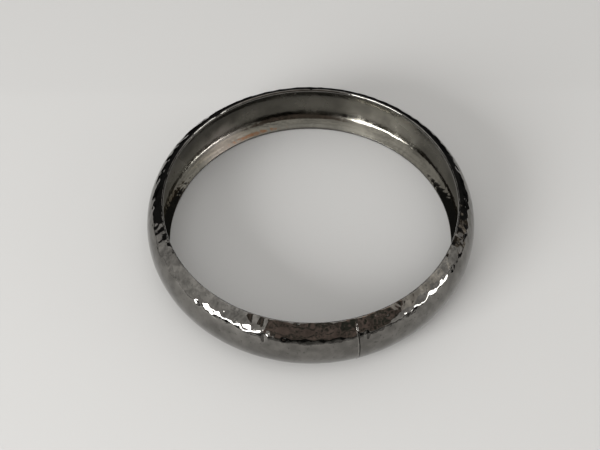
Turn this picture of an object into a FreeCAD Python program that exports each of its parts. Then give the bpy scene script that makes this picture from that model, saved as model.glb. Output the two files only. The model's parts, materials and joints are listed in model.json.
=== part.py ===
"""Closed slip-on bangle: a roll-formed, open-backed band whose two ends meet in a brazed butt seam.

Frame: millimetres, +Z up, origin on the resting plane under the centre of the ring, front towards -Y.
"""
import FreeCAD, Part

import math
import os

import Sketcher
from FreeCAD import Vector

OUT = "parts"

# Driving dimensions, each a cell of the spreadsheet: alias, value, meaning.
DIMENSIONS = [
    ("inner_diameter", 65.0, "opening for the hand, from edge to edge"),
    ("band_height", 14.1, "from the lower edge to the upper one"),
    ("crown_depth", 4.37, "how far the crown stands out beyond the opening"),
    ("crown_radius", 9.3, "section radius of the crown"),
    ("shoulder_radius", 5.8, "section radius of the two shoulders"),
    ("edge_degrees", 69.0, "where the sheet ends: the turn of its outer face from the crown"),
    ("sheet_thickness", 0.8, "thickness of the formed strip"),
    ("dressed_off", 0.08, "height dressed off each edge so that the band lies level"),
    ("seam_degrees", 15.0, "where the seam stands, from -Y towards +X"),
    ("seam_gap", 0.3, "space between the strip's two ends, along the crown"),
    ("bead_width", 0.5, "width of the dressed braze, along the crown"),
    ("bead_rise", 0.06, "how proud of the crown the braze was left"),
    ("bead_half_height", 6.4, "how far up and down the band the bead stands proud"),
    ("strap_length", 6.4, "length of the strap behind the seam, along the crown"),
    ("strap_half_height", 4.5, "half the strap's width"),
    ("strap_thickness", 0.5, "thickness of the strap"),
]

# Expressions over the spreadsheet that several features share.
INNER_RADIUS = "Sizes.inner_diameter / 2"
OUTER_RADIUS = f"({INNER_RADIUS} + Sizes.crown_depth)"
HALF_HEIGHT = "Sizes.band_height / 2"
EDGE_TURN = "Sizes.edge_degrees * 1 deg"
SHOULDER_UP = f"({HALF_HEIGHT} + Sizes.dressed_off - Sizes.shoulder_radius * sin({EDGE_TURN}))"
BRAZE_OFFSET = "Sizes.bead_rise"
SHEET_OFFSET = "-Sizes.sheet_thickness"
STRAP_OFFSET = "-Sizes.sheet_thickness - Sizes.strap_thickness"

# Sketcher's names for the sketch's own axes, its origin, and the points of a curve.
X_AXIS = -1
ORIGIN = (-1, 1)
START, END, CENTRE = 1, 2, 3

Z = Vector(0, 0, 1)


def make_sheet(doc):
    """The spreadsheet that holds the driving dimensions."""
    sheet = doc.addObject("Spreadsheet::Sheet", "Sizes")
    for row, (alias, value, meaning) in enumerate(DIMENSIONS, start=1):
        sheet.set(f"A{row}", str(value))
        sheet.setAlias(f"A{row}", alias)
        sheet.set(f"B{row}", meaning)
    doc.recompute()
    return sheet


def new_body(doc, label, behind_seam):
    """An empty body at mid height, turned so that its +X side faces the seam or lies behind it."""
    body = doc.addObject("PartDesign::Body", label)
    body.Label = label
    body.setExpression(".Placement.Base.z", "Sizes.band_height / 2")
    side = 90 if behind_seam else 270
    body.setExpression(".Placement.Rotation.Angle", f"(Sizes.seam_degrees + {side}) * 1 deg")
    return body


def new_sketch(body, name):
    """A sketch on the body's XZ plane, for a section that is turned about Z."""
    sketch = body.newObject("Sketcher::SketchObject", name)
    plane = next(f for f in body.Origin.OriginFeatures if f.Role == "XZ_Plane")
    sketch.AttachmentSupport = (plane, "")
    sketch.MapMode = "FlatFace"
    return sketch


def bind(sketch, name, expression, *constraint):
    """Adds a dimension to the sketch and ties it to an expression over the spreadsheet."""
    index = sketch.addConstraint(Sketcher.Constraint(*constraint))
    sketch.renameConstraint(index, name)
    sketch.setExpression("Constraints." + name, expression)


def relate(sketch, *constraints):
    """Adds geometric constraints, each a tuple."""
    sketch.addConstraint([Sketcher.Constraint(*c) for c in constraints])


def arc(centre, radius, start, end):
    """A circular arc that runs anticlockwise from one angle to the other, in radians."""
    return Part.ArcOfCircle(Part.Circle(centre, Z, radius), start, end)


def shoulder_up(sizes):
    """Height of the shoulders' centres of curvature above and below the middle of the band."""
    edge = sizes.band_height / 2 + sizes.dressed_off
    return edge - sizes.shoulder_radius * math.sin(math.radians(sizes.edge_degrees))


def arch_arcs(sizes, offset, end_angle):
    """Lower shoulder, crown and upper shoulder of the section, grown by offset.

    end_angle is where each shoulder stops, seen from its own centre, above or below the X axis.
    """
    up = shoulder_up(sizes)
    reach = sizes.crown_radius - sizes.shoulder_radius
    turn = math.asin(up / reach)
    crown_x = sizes.inner_diameter / 2 + sizes.crown_depth - sizes.crown_radius
    shoulder_x = crown_x + reach * math.cos(turn)
    shoulder = sizes.shoulder_radius + offset
    return [
        arc(Vector(shoulder_x, -up, 0), shoulder, -end_angle, -turn),
        arc(Vector(crown_x, 0, 0), sizes.crown_radius + offset, -turn, turn),
        arc(Vector(shoulder_x, up, 0), shoulder, turn, end_angle),
    ]


def draw_arch(sketch, side, offset_text, offset, end_angle):
    """Draws and dimensions the three arcs of one face of the section. Returns their indices."""
    sizes = sketch.Document.Sizes
    low, crown, high = sketch.addGeometry(arch_arcs(sizes, offset, end_angle), False)
    relate(
        sketch,
        ("Tangent", low, END, crown, START),
        ("Tangent", crown, END, high, START),
        ("PointOnObject", crown, CENTRE, X_AXIS),
        ("Equal", low, high),
    )
    for name, cell, curve in (("crown", "crown_radius", crown), ("shoulder", "shoulder_radius", high)):
        radius = sizes.get(cell) + offset
        bind(sketch, f"{side}_{name}", f"Sizes.{cell} + ({offset_text})", "Radius", curve, radius)
    crown_x = sizes.inner_diameter / 2 + sizes.crown_depth - sizes.crown_radius
    across = ("DistanceX", *ORIGIN, crown, CENTRE, crown_x)
    bind(sketch, side + "_crown_x", f"{OUTER_RADIUS} - Sizes.crown_radius", *across)
    for name, shoulder, sign in (("low", low, -1), ("high", high, 1)):
        climb = ("DistanceY", *ORIGIN, shoulder, CENTRE, sign * shoulder_up(sizes))
        bind(sketch, f"{side}_{name}_centre", signed(SHOULDER_UP, sign), *climb)
    return low, crown, high


def signed(expression, sign):
    """The expression, or its negative in the lower half of the section."""
    return expression if sign > 0 else "-" + expression


def draw_edge(sketch, outer, inner, sign):
    """Closes one end of the C between two shoulders, which are given by their indices.

    Three faces: a level land, dressed so that the band lies flat; the sheet's cut face, square to
    the sheet; and an upright land, dressed to the size of the opening. sign is +1 at the top.
    """
    sizes = sketch.Document.Sizes
    opening = sizes.inner_diameter / 2
    top = sizes.band_height / 2
    centre = sketch.Geometry[outer].Center
    turn = math.radians(sizes.edge_degrees)
    slope = math.tan(turn) * sign
    level = Vector(centre.x + (sign * top - centre.y) / slope, sign * top, 0)
    upright = Vector(opening, centre.y + (opening - centre.x) * slope, 0)
    end = "EndPoint" if sign > 0 else "StartPoint"
    last = END if sign > 0 else START
    stops = [getattr(sketch.Geometry[shoulder], end) for shoulder in (outer, inner)]
    land, cut, wall = sketch.addGeometry(
        [
            Part.LineSegment(stops[0], level),
            Part.LineSegment(level, upright),
            Part.LineSegment(upright, stops[1]),
        ],
        False,
    )
    relate(
        sketch,
        ("Coincident", outer, last, land, START),
        ("Coincident", land, END, cut, START),
        ("Coincident", cut, END, wall, START),
        ("Coincident", wall, END, inner, last),
        ("Horizontal", land),
        ("Vertical", wall),
        ("PointOnObject", outer, CENTRE, cut),
    )
    name = "high" if sign > 0 else "low"
    height = ("DistanceY", *ORIGIN, land, START, sign * top)
    bind(sketch, name + "_land", signed(f"({HALF_HEIGHT})", sign), *height)
    bind(sketch, name + "_opening", INNER_RADIUS, "DistanceX", *ORIGIN, wall, START, opening)
    lean = ("Angle", cut, turn - math.pi if sign > 0 else math.pi - turn)
    bind(sketch, name + "_cut", signed(f"({EDGE_TURN} - 180 deg)", sign), *lean)


def draw_c_section(sketch):
    """The strip's whole section: the outer and inner arches, and the two edges."""
    sizes = sketch.Document.Sizes
    centre = arch_arcs(sizes, 0.0, 1.0)[2].Center
    level = math.asin((sizes.band_height / 2 - centre.y) / sizes.shoulder_radius)
    inside = sizes.shoulder_radius - sizes.sheet_thickness
    upright = math.acos((sizes.inner_diameter / 2 - centre.x) / inside)
    outer = draw_arch(sketch, "outer", "0", 0.0, level)
    inner = draw_arch(sketch, "inner", SHEET_OFFSET, -sizes.sheet_thickness, upright)
    draw_edge(sketch, outer[2], inner[2], 1)
    draw_edge(sketch, outer[0], inner[0], -1)


def draw_layer(sketch, offsets, offset_texts, half_height_text):
    """A layer that follows the section between two offsets, cut level at plus and minus a height."""
    sizes = sketch.Document.Sizes
    half_height = sizes.get(half_height_text.split(".")[1])
    climb = half_height - shoulder_up(sizes)
    faces = []
    for side, offset, text in zip(("outer", "inner"), offsets, offset_texts):
        end_angle = math.asin(climb / (sizes.shoulder_radius + offset))
        faces.append(draw_arch(sketch, side, text, offset, end_angle))
    outer, inner = faces
    for name, index, point, sign in (("high", 2, END, 1), ("low", 0, START, -1)):
        shoulders = [outer[index], inner[index]]
        ends = [
            getattr(sketch.Geometry[s], "EndPoint" if sign > 0 else "StartPoint") for s in shoulders
        ]
        line = sketch.addGeometry(Part.LineSegment(*ends), False)
        relate(
            sketch,
            ("Coincident", line, START, shoulders[0], point),
            ("Coincident", line, END, shoulders[1], point),
            ("Horizontal", line),
        )
        height = ("DistanceY", *ORIGIN, line, START, sign * half_height)
        bind(sketch, name + "_end", signed(half_height_text, sign), *height)


def turn(body, sketch, name, angle_text):
    """Turns the sketch about Z, half of the angle to each side of its plane."""
    solid = body.newObject("PartDesign::Revolution", name)
    solid.Profile = sketch
    solid.ReferenceAxis = (sketch, ["V_Axis"])
    solid.Midplane = True
    solid.setExpression("Angle", angle_text)
    sketch.Visibility = False
    return solid


def span(length_text):
    """The angle, as an expression, that a length along the crown takes up round the ring."""
    return f"({length_text}) / {OUTER_RADIUS} * 180 deg / pi"


def band(doc):
    """The roll-formed strip, bent round until its two ends nearly meet at the seam."""
    body = new_body(doc, "band_shell", behind_seam=True)
    sketch = new_sketch(body, "band_section")
    draw_c_section(sketch)
    turn(body, sketch, "band_ring", f"360 deg - {span('Sizes.seam_gap')}")
    return body


def braze(doc):
    """The braze: it fills the gap to the strip's full section, and stands proud as a low bead."""
    body = new_body(doc, "seam_braze", behind_seam=False)
    fill = new_sketch(body, "fill_section")
    draw_c_section(fill)
    turn(body, fill, "gap_fill", span("Sizes.seam_gap"))
    doc.recompute()
    bead = new_sketch(body, "bead_section")
    rise = doc.Sizes.bead_rise
    draw_layer(bead, (rise, 0.0), (BRAZE_OFFSET, "0"), "Sizes.bead_half_height")
    turn(body, bead, "proud_bead", span("Sizes.bead_width"))
    return body


def strap(doc):
    """The strap: a short strip brazed inside the channel, across the back of the seam."""
    body = new_body(doc, "seam_strap", behind_seam=False)
    sketch = new_sketch(body, "strap_section")
    sheet = -doc.Sizes.sheet_thickness
    offsets = sheet, sheet - doc.Sizes.strap_thickness
    draw_layer(sketch, offsets, (SHEET_OFFSET, STRAP_OFFSET), "Sizes.strap_half_height")
    turn(body, sketch, "strap_strip", span("Sizes.strap_length"))
    return body


def check(doc):
    """Stops on any object that didn't compute, and on any sketch that isn't fully dimensioned."""
    for item in doc.Objects:
        faults = {"Invalid", "Error"} & set(item.State)
        if faults:
            raise SystemExit(f"{item.Label}: {faults}")
        if item.isDerivedFrom("Sketcher::SketchObject") and not item.FullyConstrained:
            raise SystemExit(f"{item.Label}: not fully constrained")


def main():
    doc = FreeCAD.newDocument("bangle")
    make_sheet(doc)
    bodies = band(doc), braze(doc), strap(doc)
    doc.recompute()
    check(doc)
    os.makedirs(OUT, exist_ok=True)
    for body in bodies:
        shape = body.Shape
        if shape.isNull() or not shape.isValid() or len(shape.Solids) != 1:
            raise SystemExit(f"{body.Label}: its shape is not one valid solid")
        shape.exportStep(f"{OUT}/{body.Label}.step")
        box = shape.optimalBoundingBox(False)
        print(f"{body.Label}: {shape.Volume:.2f} mm3, {box}")


main()
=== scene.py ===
"""The looks of the bangle: a hammered gunmetal band, its brazed seam and the strap behind the seam.

Lengths are in millimetres until a mesh or an object is made. The studio is in metres.
"""
import json
import math

import bmesh
import bpy
import numpy as np
from mathutils import Matrix, Vector

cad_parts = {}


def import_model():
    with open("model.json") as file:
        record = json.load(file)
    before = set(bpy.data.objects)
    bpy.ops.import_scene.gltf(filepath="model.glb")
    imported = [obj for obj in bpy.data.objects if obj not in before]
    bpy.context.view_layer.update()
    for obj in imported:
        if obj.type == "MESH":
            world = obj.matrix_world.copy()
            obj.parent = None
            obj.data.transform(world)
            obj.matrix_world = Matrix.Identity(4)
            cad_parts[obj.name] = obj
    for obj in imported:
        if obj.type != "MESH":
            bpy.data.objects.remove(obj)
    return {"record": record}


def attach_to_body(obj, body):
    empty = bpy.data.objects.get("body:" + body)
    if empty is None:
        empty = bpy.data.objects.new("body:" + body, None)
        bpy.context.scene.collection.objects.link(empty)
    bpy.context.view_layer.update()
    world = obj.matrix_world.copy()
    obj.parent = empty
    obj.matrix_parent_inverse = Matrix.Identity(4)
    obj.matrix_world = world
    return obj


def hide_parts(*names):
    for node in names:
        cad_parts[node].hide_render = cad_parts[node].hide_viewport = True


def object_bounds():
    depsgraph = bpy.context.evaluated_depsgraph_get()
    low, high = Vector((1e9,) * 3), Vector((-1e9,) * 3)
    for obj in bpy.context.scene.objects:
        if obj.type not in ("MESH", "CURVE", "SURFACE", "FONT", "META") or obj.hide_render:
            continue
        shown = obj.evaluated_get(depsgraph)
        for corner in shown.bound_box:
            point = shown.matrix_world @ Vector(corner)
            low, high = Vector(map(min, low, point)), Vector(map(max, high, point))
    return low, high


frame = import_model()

MM = 0.001
CAD_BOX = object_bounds()

# The band's section, from the frame where it can be measured and from the design where it can't.
MOUNTS = {mount["name"]: mount for mount in frame["record"]["mounts"]}
RING = MOUNTS["hand_opening"]["dims"]["r_mm"]
HEIGHT = CAD_BOX[1][2] / MM
OUTER = 36.87
CROWN = 9.3
SHOULDER = 5.8
EDGE = math.radians(69)
SHEET = 0.8
DRESSED = 0.08
SEAM = math.radians(-90 + 15)
GAP = 0.3
BEAD_WIDTH = 0.5
BEAD_RISE = 0.06
BEAD_HALF_HEIGHT = 6.4
STRAP_LENGTH = 6.4
STRAP_HALF_HEIGHT = 4.5
STRAP = 0.5

# What follows from those: the centres of curvature, and the facings where the faces change.
MIDDLE = HEIGHT / 2
SHOULDER_UP = MIDDLE + DRESSED - SHOULDER * math.sin(EDGE)
TURN = math.asin(SHOULDER_UP / (CROWN - SHOULDER))
CROWN_X = OUTER - CROWN
SHOULDER_X = CROWN_X + (CROWN - SHOULDER) * math.cos(TURN)
LEVEL = math.asin((MIDDLE - SHOULDER_UP) / SHOULDER)
UPRIGHT = math.acos((RING - SHOULDER_X) / (SHOULDER - SHEET))

# The mesh: how far each corner of the edges is softened, how many sections there are round the
# band and across the braze, and the seed of all that is uneven.
SOFT = 0.07
COLUMNS = 1160
BEAD_COLUMNS = 17
SEED = 7

# The shoulders swell a little before the hammer flattens them, and the sheet ripples.
BULGE = 0.07
RIPPLE_OUTSIDE = 0.010
RIPPLE_INSIDE = 0.015

# A hammer mark: how far it reaches round the band and down through it, how many rows of each edge
# it reaches, and how much it may lean along and across the band, in spreads. The reach and the
# lean along the band belong together, because a steeper mark would end in a step.
REACH = 4.4
REACH_DOWN = 2.5
EDGE_ROWS = 4
MOST_ALONG = 2.2
MOST_ACROSS = 4

# The crevice along the seam: its depth in the band's end and in the braze.
CREVICE_IN_BAND = 0.14
CREVICE_IN_BEAD = 0.24

# The flanks inside, which a hand rubs bright: how far from the middle they begin, and over what
# height they reach full brightness.
RUBBED_FROM = 3.6
RUBBED_OVER = 1.6

# Tints of the plating outside and inside, and of the painted reflection of a hand low inside on the left.
WARM = (1.04, 1.0, 0.93)
OLIVE = (1.05, 1.0, 0.86)
HAND_REFLECTION_TINT = (1.08, 0.98, 0.9)

ONE_FACE = [(0, 1, 2, 3)]


# ---------------------------------------------------------------- the section


def on_section(facing, offset=0.0):
    """Points of the section, grown by offset, where its outer face points at the given angles."""
    facing = np.asarray(facing, dtype=float)
    crown = np.abs(facing) <= TURN
    centre_x = np.where(crown, CROWN_X, SHOULDER_X)
    centre_z = MIDDLE + np.where(crown, 0, np.sign(facing) * SHOULDER_UP)
    radius = np.where(crown, CROWN, SHOULDER) + offset
    return np.stack((centre_x + radius * np.cos(facing), centre_z + radius * np.sin(facing)), -1)


def outward(facing):
    """Unit vectors of the section's plane at the given angles."""
    return np.stack((np.cos(facing), np.sin(facing)), -1)


def stretch(*stops):
    """Angles in radians from stops (degrees, how many rows up to the next stop)."""
    angles = []
    for (start, count), (end, _) in zip(stops, stops[1:]):
        angles.append(np.linspace(start, end, count, endpoint=False))
    return np.radians(np.concatenate(angles + [[stops[-1][0]]]))


def edge_points():
    """The upper edge from outside to inside, softened: level land, cut face, upright land."""
    rise = math.tan(EDGE)
    corners = [
        on_section(LEVEL),
        np.array([SHOULDER_X + (HEIGHT - MIDDLE - SHOULDER_UP) / rise, HEIGHT]),
        np.array([RING, MIDDLE + SHOULDER_UP + (RING - SHOULDER_X) * rise]),
        on_section(UPRIGHT, -SHEET),
    ]
    points = []
    for here, there in zip(corners, corners[1:]):
        step = (there - here) / np.linalg.norm(there - here) * SOFT
        points += [here + step, there - step]
    return np.array(points)


def section():
    """The strip's closed outline: points, how each swells, and how many belong to each face.

    It runs up the outer face, over the upper edge, down the inner face and round the lower edge.
    """
    top = math.degrees(LEVEL - SOFT / SHOULDER)
    turn = math.degrees(TURN)
    outer = stretch((-top, 13), (-turn, 8), (-15, 5), (15, 8), (turn, 18), (top, 1))
    back = math.degrees(UPRIGHT - SOFT / (SHOULDER - SHEET))
    inner = stretch((back, 7), (turn, 6), (-turn, 7), (-back, 1))
    edge = edge_points()
    lower_edge = (edge * (1, -1) + (0, HEIGHT))[::-1]
    points = np.concatenate((on_section(outer), edge, on_section(inner, -SHEET), lower_edge))
    still = np.zeros_like(edge)
    swell = np.concatenate((outward(outer), still, -outward(inner), still))
    return points, swell, (len(outer), len(edge), len(inner), len(edge))


# ---------------------------------------------------------------- the hammered surface


def hammer_marks():
    """Every hammer mark: place round the ring, facing, depth, leans and curvatures."""
    rng = np.random.default_rng(SEED)
    less_across = 0.7
    bend_per_lean = 0.015
    rows = [
        # facing and its spread in degrees, spacing round the ring, depth, lean in degrees,
        # least and most bend
        (51, 4, 1.8, 0.120, 2.4, 0.00, 0.10),
        (60, 3, 1.8, 0.090, 2.6, 0.00, 0.10),
        (41, 3, 1.8, 0.060, 1.8, -0.04, 0.06),
        (31, 3, 2.1, 0.030, 1.3, -0.08, 0.00),
        (20, 5, 3.2, 0.020, 1.0, -0.05, 0.02),
        (2, 8, 9.0, 0.014, 0.4, -0.01, 0.01),
        (46, 8, 5.0, 0.120, 3.0, 0.12, 0.35),
    ]
    marks = []
    for side in (1, -1):
        for facing, spread, spacing, depth, lean, least, most in rows:
            count = round(2 * math.pi * OUTER / spacing)
            around = (np.arange(count) + rng.uniform(-0.35, 0.35, count)) * 2 * math.pi / count
            around += rng.uniform(0, 2 * math.pi)
            marks += zip(
                around % (2 * math.pi),
                side * np.radians(facing + rng.normal(0, spread, count)),
                depth * rng.uniform(0.6, 1.15, count),
                np.radians(lean * rng.standard_t(3, count).clip(-MOST_ALONG, MOST_ALONG)),
                np.radians(lean * less_across * rng.standard_t(3, count).clip(-MOST_ACROSS, MOST_ACROSS)),
                bend_per_lean * lean + rng.uniform(0, max(most, 0), count),
                rng.uniform(least, most, count),
            )
    # The single deeper marks round the front: azimuth from -Y and facing in degrees, depth, the
    # leans along and across as slopes, and the bends along and across.
    single = [
        (18.3, 35.0, 0.090, 0.12, 0.12, 0.50, 0.00),
        (24.5, 46.0, 0.170, 0.00, 0.00, 0.10, 0.10),
        (-9.5, 31.0, 0.100, 0.00, 0.00, 0.30, 0.30),
        (-16.5, 33.0, 0.080, -0.12, 0.11, 0.40, 0.00),
        (-35.5, 36.0, 0.100, 0.00, 0.00, 0.25, 0.25),
        (-62.0, 33.0, 0.120, 0.00, 0.00, 0.22, 0.22),
        (72.0, 34.0, 0.120, 0.00, 0.00, 0.22, 0.22),
    ]
    for azimuth, facing, *shape in single:
        marks.append((math.radians(270 + azimuth) % (2 * math.pi), math.radians(facing), *shape))
    return marks


MARKS = hammer_marks()


def ripple(around, height, amount, seed):
    """A slow unevenness of the sheet, never outwards, which closes on itself round the ring."""
    rng = np.random.default_rng(seed)
    total = np.zeros(np.broadcast(around, height).shape)
    waves = 14
    for _ in range(waves):
        turns = rng.integers(5, 42)
        climb = rng.uniform(-0.6, 0.6)
        phase = rng.uniform(0, 2 * math.pi)
        total += np.sin(turns * around + climb * height + phase) / math.sqrt(turns)
    return amount * (total - total.max())


def frame_at(around, facing):
    """Point on the unhammered outer face, its normal, and the directions round and up the band."""
    r, z = on_section(facing)
    radial = np.array([math.cos(around), math.sin(around), 0])
    along = np.array([-math.sin(around), math.cos(around), 0])
    up = np.array([0, 0, 1])
    normal = radial * math.cos(facing) + up * math.sin(facing)
    across = up * math.cos(facing) - radial * math.sin(facing)
    return radial * r + up * z, normal, along, across


def at(around, points):
    """Points of the section, each (radius, height), placed at their angles round the ring."""
    radius, height = points[..., 0], points[..., 1]
    parts = np.broadcast_arrays(radius * np.cos(around), radius * np.sin(around), height)
    return np.stack(parts, -1)


def hammered_grid(around, rise=0.0):
    """The strip's hammered surface at the given angles (columns by rows), then raised by rise."""
    points, swell, (outer, *_) = section()
    lean = (np.abs(np.arcsin(swell[:, 1])) - TURN) / (EDGE - TURN)
    bulge = BULGE * np.sin(lean.clip(0, 1) * math.pi)
    bulge[outer:] = 0
    height = points[:, 1]
    wave = ripple(around, height[None, :], RIPPLE_OUTSIDE, SEED)
    wave[:, outer:] = ripple(around[:, outer:], height[None, outer:], RIPPLE_INSIDE, SEED + 1)
    wave = wave * (1 - np.abs(height / MIDDLE - 1)[None, :] ** 6) + bulge[None, :]
    grid = at(around, points[None] + wave[..., None] * swell[None])
    reached = np.r_[0 : outer + EDGE_ROWS, len(points) - EDGE_ROWS : len(points)]
    for mark_around, facing, depth, lean_along, lean_across, bend_along, bend_across in MARKS:
        away = (around[:, 0] - mark_around + math.pi) % (2 * math.pi) - math.pi
        columns = np.nonzero(np.abs(away) < REACH / OUTER)[0]
        if not len(columns):
            continue
        place, normal, along, across = frame_at(mark_around, facing)
        patch = grid[np.ix_(columns, reached)]
        offset = patch - place
        u, v, w = offset @ along, offset @ across, offset @ normal
        tilt = lean_along * u + lean_across * v
        bottom = tilt + bend_along * u**2 / 2 + bend_across * v**2 / 2 - depth
        cut = np.where((w > bottom) & (w > -REACH_DOWN), w - bottom, 0)
        grid[np.ix_(columns, reached)] = patch - cut[..., None] * normal
    return grid + at(around, np.asarray(rise)[..., None] * swell[None])


# ---------------------------------------------------------------- pieces


def link(name, mesh, material):
    """A new object of the mesh, in the one material."""
    mesh.materials.append(material)
    piece = bpy.data.objects.new(name, mesh)
    bpy.context.scene.collection.objects.link(piece)
    return piece


def mesh_object(name, vertices, faces, material):
    """A smooth-shaded object at the origin, from vertices in millimetres."""
    mesh = bpy.data.meshes.new(name)
    mesh.from_pydata((np.asarray(vertices).reshape(-1, 3) * MM).tolist(), [], faces)
    mesh.validate()
    shape = bmesh.new()
    shape.from_mesh(mesh)
    bmesh.ops.recalc_face_normals(shape, faces=shape.faces)
    shape.to_mesh(mesh)
    shape.free()
    mesh.shade_smooth()
    mesh.set_sharp_from_angle(angle=math.radians(60))
    return link(name, mesh, material)


def quads(rows, count, closed):
    """Quads of a grid of points, count to a row. The rows may close on themselves."""
    faces = []
    for row in range(rows - 1):
        a, b = row * count, (row + 1) * count
        for i in range(count if closed else count - 1):
            j = (i + 1) % count
            faces.append((a + i, b + i, b + j, a + j))
    return faces


def capped(rows, count):
    """Quads of a grid whose rows close on themselves, and a cap at each end."""
    caps = [tuple(range(count))[::-1], tuple(range((rows - 1) * count, rows * count))]
    return quads(rows, count, closed=True) + caps


def paint(piece, name, values):
    """Stores one number per vertex, for the material to read."""
    attribute = piece.data.attributes.new(name, "FLOAT", "POINT")
    attribute.data.foreach_set("value", np.asarray(values, dtype=np.float32).ravel())


def strip_map(piece, along, across):
    """Lays a piece out flat, in metres, for the marks that working and polishing leave."""
    flat = np.stack(np.broadcast_arrays(along, across), -1).reshape(-1, 2) * MM
    corners = np.empty(len(piece.data.loops), dtype=np.int32)
    piece.data.loops.foreach_get("vertex_index", corners)
    layer = piece.data.uv_layers.new(name="strip")
    layer.data.foreach_set("uv", flat[corners].ravel())


def tube(name, around, grid, material):
    """A closed length of the strip, with its flat map and with its inner face marked as such."""
    piece = mesh_object(name, grid, capped(*grid.shape[:2]), material)
    points, _, (outer, edge, inner, _) = section()
    steps = np.linalg.norm(np.diff(points, axis=0), axis=1)
    strip_map(piece, (around[:, :1] - SEAM) * OUTER, np.concatenate(([0], np.cumsum(steps)))[None])
    rows = np.arange(len(points))
    inside = (rows >= outer + edge) & (rows < outer + edge + inner)
    paint(piece, "inside", np.tile(inside, len(grid)))
    rubbed = ((np.abs(points[:, 1] - MIDDLE) - RUBBED_FROM) / RUBBED_OVER).clip(0, 1)
    paint(piece, "rubbed", np.tile(rubbed, len(grid)))
    return piece


def attach(piece, node):
    """Puts a piece in the place of its CAD node, on the one body."""
    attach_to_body(piece, "root")
    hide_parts(node)


def band(material):
    """The hammered strip, from one side of the seam's gap round to the other."""
    points, _, (outer, *_) = section()
    half = GAP / 2 / OUTER
    turned = np.linspace(half, 2 * math.pi - half, COLUMNS)[:, None]
    around = SEAM + turned + np.zeros(len(points))
    crevice = np.zeros(around.shape)
    crevice[0, :outer] = 1
    grid = hammered_grid(around, -CREVICE_IN_BAND * crevice)
    piece = tube("hammered_band", around, grid, material)
    # The material colours this crevice nearly black: painted shade.
    paint(piece, "crevice", crevice)
    attach(piece, "band_shell")


def bead(material):
    """The braze: it fills the gap, laps over one side, and leaves a crevice along the other."""
    points, _, (outer, *_) = section()
    rng = np.random.default_rng(SEED + 2)
    share = np.linspace(0, 1, BEAD_COLUMNS)[:, None]
    height = np.abs(points[:, 1] - MIDDLE)
    fade = 0.12
    proud = 1 / (1 + np.exp((height - BEAD_HALF_HEIGHT) / fade))
    proud[outer:] = 0
    uneven = rng.uniform(0.75, 1.0, len(points))
    start = -GAP / 2 - (BEAD_WIDTH - GAP) / 2 * proud * uneven
    across = start + share * (GAP / 2 - start)
    crest_at, crest_half = -0.10, 0.16
    crest = ((across - crest_at) / crest_half).clip(-1, 1)
    crevice_at, bank = 0.10, 0.08
    crevice = (1 - ((across - crevice_at) / bank).clip(-1, 0) ** 2) * proud
    fullest = BEAD_RISE * 1.2
    rise = fullest * uneven * (1 - crest**2) - CREVICE_IN_BEAD * uneven[::-1] * crevice
    tucked_in = 0.03 * (1 - share) ** 12
    rise = rise * proud - tucked_in * proud
    around = SEAM + across / OUTER
    piece = tube("brazed_seam", around, hammered_grid(around, rise), material)
    # The material colours this crevice nearly black: painted shade.
    paint(piece, "crevice", crevice)
    attach(piece, "seam_braze")


def rounded_rectangle(half_width, half_height, corner, count=12):
    """Points round a rectangle with rounded corners, and the outward normal at each."""
    turn = np.linspace(0, math.pi / 2, count)
    points, normals = [], []
    for quarter, (x, y) in enumerate(((1, 1), (-1, 1), (-1, -1), (1, -1))):
        out = outward(turn + quarter * math.pi / 2)
        points.append(np.array((x * (half_width - corner), y * (half_height - corner))) + corner * out)
        normals.append(out)
    points, normals = np.concatenate(points), np.concatenate(normals)
    # The straight sides, which are longer than any step round a corner, get points between.
    middles = np.linspace(0, 1, 6)[1:-1, None]
    filled, facing = [], []
    for i in range(len(points)):
        j = (i + 1) % len(points)
        filled.append(points[i : i + 1])
        facing.append(normals[i : i + 1])
        if np.linalg.norm(points[j] - points[i]) > corner:
            filled.append(points[i] * (1 - middles) + points[j] * middles)
            facing.append(np.tile(normals[i], (len(middles), 1)))
    return np.concatenate(filled), np.concatenate(facing)


def strap(material):
    """The strap behind the seam: corners and edges rounded, with a fillet of braze all round."""
    inside = SHOULDER - SHEET
    crown_half = (CROWN - SHEET) * TURN
    past = math.asin((STRAP_HALF_HEIGHT - SHOULDER_UP) / inside)
    half_height = crown_half + inside * (past - TURN)
    corner = 0.9
    rim, facing = rounded_rectangle(STRAP_LENGTH / 2, half_height, corner)
    # Rings from the foot in the sheet, up the fillet and over the edge: each one's inset and lift.
    rings = [
        (-0.40, -0.12),
        (-0.40, -0.02),
        (-0.16, 0.05),
        (-0.03, 0.20),
        (0, 0.36),
        (0.05, 0.455),
        (0.16, STRAP),
    ]
    flat = [np.column_stack((rim - facing * inset, np.full(len(rim), lift))) for inset, lift in rings]
    face = flat[-1]
    for share in (0.75, 0.5, 0.25, 0.02):
        flat.append(face * (share, share, 1))
    flat = np.array(flat)
    along, up, lift = flat[..., 0], flat[..., 1], flat[..., 2]
    extra = np.abs(up) - crown_half
    angle = np.where(extra > 0, TURN + extra / inside, np.abs(up) / (CROWN - SHEET)) * np.sign(up)
    grid = at(SEAM + along / OUTER, on_section(angle, -SHEET - lift))
    count = len(rim)
    ends = [tuple(range(count)), tuple(range((len(grid) - 1) * count, len(grid) * count))]
    faces = quads(len(grid), count, closed=True) + ends
    piece = mesh_object("strap_behind_seam", grid, faces, material)
    for name, value in (("inside", 1), ("rubbed", 0), ("crevice", 0)):
        paint(piece, name, np.full(grid.shape[:2], value))
    strip_map(piece, along, up)
    attach(piece, "seam_strap")


# ---------------------------------------------------------------- materials


def node(tree, kind, values=None, **settings):
    """A new shader node, whose inputs are linked to sockets or set to numbers."""
    made = tree.nodes.new("ShaderNode" + kind)
    for key, value in settings.items():
        setattr(made, key, value)
    for key, value in (values or {}).items():
        if isinstance(value, bpy.types.NodeSocket):
            tree.links.new(value, made.inputs[key])
        else:
            made.inputs[key].default_value = value
    return made


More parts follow.
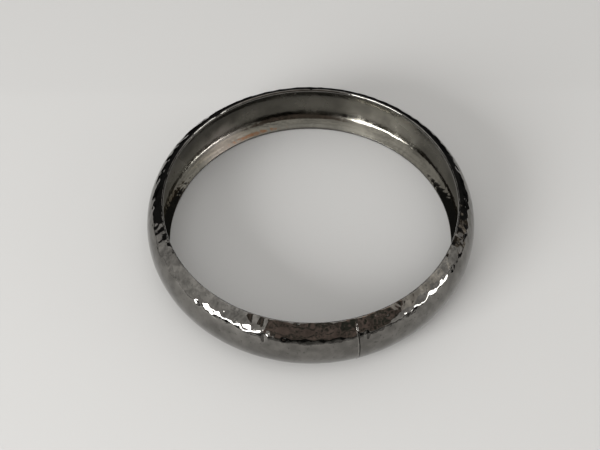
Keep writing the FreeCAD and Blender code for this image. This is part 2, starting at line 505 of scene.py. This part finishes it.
def new_material(name):
    """A material with nodes, and its node tree."""
    material = bpy.data.materials.new(name)
    material.use_nodes = True
    return material, material.node_tree


def mix(tree, factor, a, b):
    """Blends two colours."""
    return node(tree, "Mix", {0: factor, 6: a, 7: b}, data_type="RGBA").outputs[2]


def spread(tree, value, low, high, to_low, to_high):
    """Maps a value from one range to another, held at its ends."""
    values = {"Value": value, 1: low, 2: high, 3: to_low, 4: to_high}
    return node(tree, "MapRange", values).outputs[0]


def tint(value, colour):
    """A grey of the given value, tinted."""
    return tuple(value * part for part in colour) + (1,)


def sum_of(tree, *values):
    """The sum of the values."""
    total = values[0]
    for value in values[1:]:
        total = node(tree, "Math", {0: total, 1: value}, operation="ADD").outputs[0]
    return total


def times(tree, a, b):
    """The product of two values."""
    return node(tree, "Math", {0: a, 1: b}, operation="MULTIPLY").outputs[0]


def noise(tree, vector, scale, detail):
    """Cloudy values round 0.5, with scale clouds to a metre."""
    return node(tree, "TexNoise", {"Vector": vector, "Scale": scale, "Detail": detail}).outputs[0]


def near(tree, place, azimuth, radius, height, reach):
    """1 at a place on the band, in millimetres and degrees from -Y, and 0 beyond its reach."""
    a = math.radians(azimuth)
    spot = Vector((math.sin(a) * radius, -math.cos(a) * radius, height)) * MM
    away = node(tree, "VectorMath", {0: place, 1: spot}, operation="DISTANCE").outputs["Value"]
    return spread(tree, away, reach * 0.15 * MM, reach * MM, 1.0, 0.0)


def relief(tree, place, strip, hidden):
    """Heights in millimetres of the small marks: peening, orange peel and the polisher's lines."""
    cell = 1.5
    marks = node(tree, "TexVoronoi", {"Vector": strip, "Scale": 1000 / cell}, voronoi_dimensions="2D")
    upward = node(tree, "SeparateXYZ", {0: node(tree, "NewGeometry").outputs["Normal"]}).outputs[2]
    sloped = node(tree, "Math", {0: upward}, operation="ABSOLUTE").outputs[0]
    depth = spread(tree, sloped, 0.3, 0.55, 0.005, 0.034)
    dished = node(tree, "Math", {0: marks.outputs[0], 1: 2.0}, operation="POWER").outputs[0]
    peened = times(tree, dished, depth)
    lay = node(tree, "Mapping", {"Vector": strip, "Scale": (60.0, 3200.0, 1.0)}).outputs[0]
    peel = times(tree, noise(tree, place, 1100.0, 2.0), 0.0022)
    rough = times(tree, times(tree, noise(tree, place, 500.0, 3.0), 0.012), hidden)
    lines = times(tree, noise(tree, lay, 1.0, 2.0), 0.0014)
    return sum_of(tree, peened, peel, rough, lines)


def outside_colour(tree, place, strip, clouds, value):
    """The polished outside: blotches where the plating has worn thin, and dark specks."""
    blotches = noise(tree, strip, 420.0, 6.0)
    wear = sum_of(tree, times(tree, clouds, 0.4), times(tree, blotches, 0.6))
    worn = spread(tree, wear, 0.42, 0.58, 0.0, 1.0)
    face = mix(tree, worn, tint(value * 0.8, WARM), tint(value * 1.16, WARM))
    specks = spread(tree, noise(tree, place, 1500.0, 2.0), 0.30, 0.37, 0.55, 0.0)
    return mix(tree, specks, face, tint(value * 0.4, WARM))


def inside_colour(tree, place, clouds, rubbed, value):
    """The unpolished inside: mottled, rubbed brighter on its flanks, with a painted halo round a
    highlight at the back right and a painted reflection of a hand low on the left.
    """
    mottle = spread(tree, clouds, 0.38, 0.62, 0.0, 1.0)
    back = mix(tree, mottle, tint(value * 0.75, OLIVE), tint(value * 1.25, OLIVE))
    back = mix(tree, rubbed, back, tint(value * 1.25, OLIVE))
    # Painted highlight: a pale cloudy halo round the window's highlight, high inside at the back right.
    painted_halo = times(tree, near(tree, place, 150, 32, 7, 12), spread(tree, clouds, 0.35, 0.6, 0.4, 1.0))
    back = mix(tree, painted_halo, back, tint(value * 3.8, OLIVE))
    # Painted reflection: a pale warm patch low inside on the left, where the metal mirrors a hand.
    painted_hand_reflection = times(tree, near(tree, place, -141, 32, 1, 8), spread(tree, clouds, 0.38, 0.5, 0.2, 1.0))
    return mix(tree, painted_hand_reflection, back, tint(value * 2.8, HAND_REFLECTION_TINT))


def plating(name, outside, inside, polish, dull):
    """Dark plating from its values and roughnesses outside and where 'inside' is painted 1."""
    material, tree = new_material(name)
    shader = tree.nodes["Principled BSDF"]
    place = node(tree, "TexCoord").outputs["Object"]
    strip = node(tree, "UVMap", uv_map="strip").outputs[0]
    hidden, rubbed, crevice = (
        node(tree, "Attribute", attribute_name=painted).outputs["Fac"]
        for painted in ("inside", "rubbed", "crevice")
    )
    clouds = noise(tree, place, 130.0, 4.0)
    grain = noise(tree, place, 900.0, 3.0)

    face = outside_colour(tree, place, strip, clouds, outside)
    back = inside_colour(tree, place, clouds, rubbed, inside)
    colour = mix(tree, hidden, face, back)
    # Painted shade: the crevice along the seam is coloured nearly black.
    colour = mix(tree, times(tree, crevice, 0.9), colour, tint(0.02, WARM))
    tree.links.new(colour, shader.inputs["Base Color"])

    smooth = spread(tree, grain, 0.35, 0.65, polish * 0.6, polish * 1.5)
    rough = spread(tree, clouds, 0.42, 0.62, dull * 1.2, dull * 3.2)
    rough = times(tree, rough, spread(tree, rubbed, 0.0, 1.0, 1.0, 0.45))
    blend = node(tree, "Mix", {0: hidden, 2: smooth, 3: rough}, data_type="FLOAT").outputs[0]
    tree.links.new(blend, shader.inputs["Roughness"])

    height = relief(tree, place, strip, hidden)
    bump = node(tree, "Bump", {"Height": height, "Strength": 1.0, "Distance": MM})
    tree.links.new(bump.outputs[0], shader.inputs["Normal"])
    shader.inputs["Metallic"].default_value = 1.0
    return material


# ---------------------------------------------------------------- studio


def direction(azimuth, elevation):
    """Unit vector; azimuth is in degrees from -Y, positive towards +X."""
    a, e = math.radians(azimuth), math.radians(elevation)
    return Vector((math.sin(a) * math.cos(e), -math.cos(a) * math.cos(e), math.sin(e)))


def grey(value):
    """A colour with no tint."""
    return (value, value, value)


def plain_object(name, corners, faces, material):
    """An object of flat faces, from corners in metres."""
    mesh = bpy.data.meshes.new(name)
    mesh.from_pydata([tuple(corner) for corner in corners], [], faces)
    return link(name, mesh, material)


def glow(name, colour, other=None, scale=20.0):
    """An emission of one colour, or one that drifts between two."""
    material, tree = new_material(name)
    tree.nodes.clear()
    shader = node(tree, "Emission", {"Color": (*colour, 1), "Strength": 1.0})
    if other:
        place = node(tree, "TexCoord").outputs["Object"]
        share = spread(tree, noise(tree, place, scale, 3.0), 0.42, 0.58, 0.0, 1.0)
        tree.links.new(mix(tree, share, (*colour, 1), (*other, 1)), shader.inputs["Color"])
    output = node(tree, "OutputMaterial")
    tree.links.new(shader.outputs[0], output.inputs["Surface"])
    return material


def reflected(name, corners, faces, *colours, **settings):
    """Something that only reflections see."""
    piece = plain_object(name, corners, faces, glow(name, *colours, **settings))
    for ray in ("camera", "diffuse", "transmission", "volume_scatter", "shadow"):
        setattr(piece, "visible_" + ray, False)


def wall(name, azimuths, elevations, distance, *colours, **settings):
    """A curved card round the ring, between two azimuths and two elevations."""
    steps, rises = 16, 6
    corners = [
        direction(azimuth, elevation) * distance
        for elevation in np.linspace(*elevations, rises + 1)
        for azimuth in np.linspace(*azimuths, steps + 1)
    ]
    reflected(name, corners, quads(rises + 1, steps + 1, closed=False), *colours, **settings)


def table(name, x, y, *colours, **settings):
    """A rectangle just above the floor: what lies beyond the paper."""
    above = 0.0005
    corners = [(x[0], y[0], above), (x[1], y[0], above), (x[1], y[1], above), (x[0], y[1], above)]
    reflected(name, corners, ONE_FACE, *colours, **settings)


def floor():
    """The sheet of paper that the ring lies on."""
    size = 2.0
    corners = [(-size, -size, 0), (size, -size, 0), (size, size, 0), (-size, size, 0)]
    material, tree = new_material("paper")
    shader = tree.nodes["Principled BSDF"]
    shader.inputs["Base Color"].default_value = (0.42, 0.416, 0.408, 1)
    shader.inputs["Roughness"].default_value = 0.7
    piece = plain_object("floor", corners, ONE_FACE, material)


def world():
    """A pale room, even all round and brighter overhead, with slow cloudy differences."""
    scene = bpy.context.scene
    scene.world = bpy.data.worlds.new("room")
    scene.world.use_nodes = True
    tree = scene.world.node_tree
    place = node(tree, "TexCoord").outputs["Generated"]
    height = node(tree, "SeparateXYZ", {0: place}).outputs[2]
    ramp = node(tree, "ValToRGB", {0: height})
    elements = ramp.color_ramp.elements
    # The ramp's own last stop, straight overhead, stays white.
    for position, value in ((0.0, 0.72), (0.1, 0.72), (0.6, 0.76), (0.85, 0.88)):
        element = elements.new(position) if position else elements[0]
        element.color = (value, value * 0.985, value * 0.96, 1)
    strength = spread(tree, noise(tree, place, 6.0, 5.0), 0.35, 0.65, 0.7, 1.35)
    tree.links.new(ramp.outputs[0], tree.nodes["Background"].inputs["Color"])
    tree.links.new(strength, tree.nodes["Background"].inputs["Strength"])


def area(name, azimuth, elevation, distance, width, height, power):
    """A lamp that faces the ring. It lights the floor and doesn't show in the metal."""
    light = bpy.data.lights.new(name, "AREA")
    light.shape = "RECTANGLE"
    light.size, light.size_y = width, height
    light.energy = power
    lamp = bpy.data.objects.new(name, light)
    lamp.location = direction(azimuth, elevation) * distance
    lamp.rotation_euler = (-lamp.location).to_track_quat("-Z", "Y").to_euler()
    lamp.visible_glossy = False
    bpy.context.scene.collection.objects.link(lamp)


def camera():
    """Looks down at the ring from in front; the lens is about twice a telephone's usual one."""
    pitch, roll = math.radians(53.18), math.radians(0.40)
    right = Vector((1, 0, 0))
    up = Vector((0, math.sin(pitch), math.cos(pitch)))
    ahead = Vector((0, math.cos(pitch), -math.sin(pitch)))
    turned_right = right * math.cos(roll) - up * math.sin(roll)
    turned_up = right * math.sin(roll) + up * math.cos(roll)
    offset = Vector((2.40, -1.86, 222.67)) * MM
    place = -(turned_right * offset.x + turned_up * offset.y + ahead * offset.z)
    data = bpy.data.cameras.new("camera")
    data.sensor_width = 36
    data.lens = 57.42
    data.clip_start = 0.01
    view = bpy.data.objects.new("camera", data)
    axes = Matrix((turned_right, turned_up, -ahead)).transposed().to_4x4()
    view.matrix_world = Matrix.Translation(place) @ axes
    bpy.context.scene.collection.objects.link(view)
    bpy.context.scene.camera = view


camera()
floor()
world()
area("daylight_left", -46, 22, 0.8, 0.47, 0.33, 10.0)
area("daylight_right", 85, 20, 1.2, 0.5, 0.3, 1.0)
area("overhead", 0, 75, 1.3, 1.0, 1.0, 3.4)

# The room that the polished metal reflects: windows, a lit wall, the photographer and dark furniture.
wall("window_left", (-64, -28), (6, 16.5), 1.1, grey(20))
wall("window_right", (59, 86), (5, 14), 0.85, grey(12))
wall("bright_wall", (45, 95), (30, 78), 1.2, (0.85, 0.81, 0.75), (1.3, 1.24, 1.15), scale=3.0)
reflected(
    "photographer",
    [(-0.03, -0.09, 0.019), (0.062, -0.09, 0.019), (0.062, -0.045, 0.062), (-0.03, -0.045, 0.062)],
    ONE_FACE,
    (0.34, 0.265, 0.235),
    (0.075, 0.08, 0.065),
    scale=110.0,
)
wall("hand", (52, 80), (62, 76), 0.4, (1.1, 0.62, 0.4))
wall("dark_behind", (115, 250), (0, 50), 0.9, grey(0.03))
wall("doorway", (105, 115), (0, 40), 0.95, (0.05, 0.04, 0.03), (0.75, 0.68, 0.58), scale=6.0)
wall("dark_horizon", (-75, 110), (-1, 3.5), 1.0, grey(0.02))
wall("dark_front", (-24, 26), (-3, 8.5), 0.8, grey(0.015))

# What lies beyond the paper: the dark table, the paper's shaded end and a sheen on its left.
table("table_behind", (-1.5, 1.5), (0.046, 1.9), grey(0.01))
table("table_front", (-1.5, 1.5), (-1.9, -0.22), grey(0.01))
table("shade_far", (-0.07, 0.25), (-0.2199, -0.13), (0.14, 0.14, 0.13))
table("shade_near", (-0.07, 0.25), (-0.1299, -0.095), (0.33, 0.32, 0.31))
table("sheen", (-0.40, -0.07), (-0.40, -0.13), (0.55, 0.55, 0.54), (1.2, 1.2, 1.17), scale=16.0)

band(plating("band_plating", outside=0.165, inside=0.11, polish=0.06, dull=0.10))
# The braze carries the band's plating, painted lighter outside: a painted highlight along the seam.
bead(plating("braze_plating_painted_highlight", outside=0.26, inside=0.12, polish=0.10, dull=0.14))
strap(plating("strap_plating", outside=0.17, inside=0.11, polish=0.10, dull=0.18))
bpy.context.scene.view_settings.view_transform = "Standard"
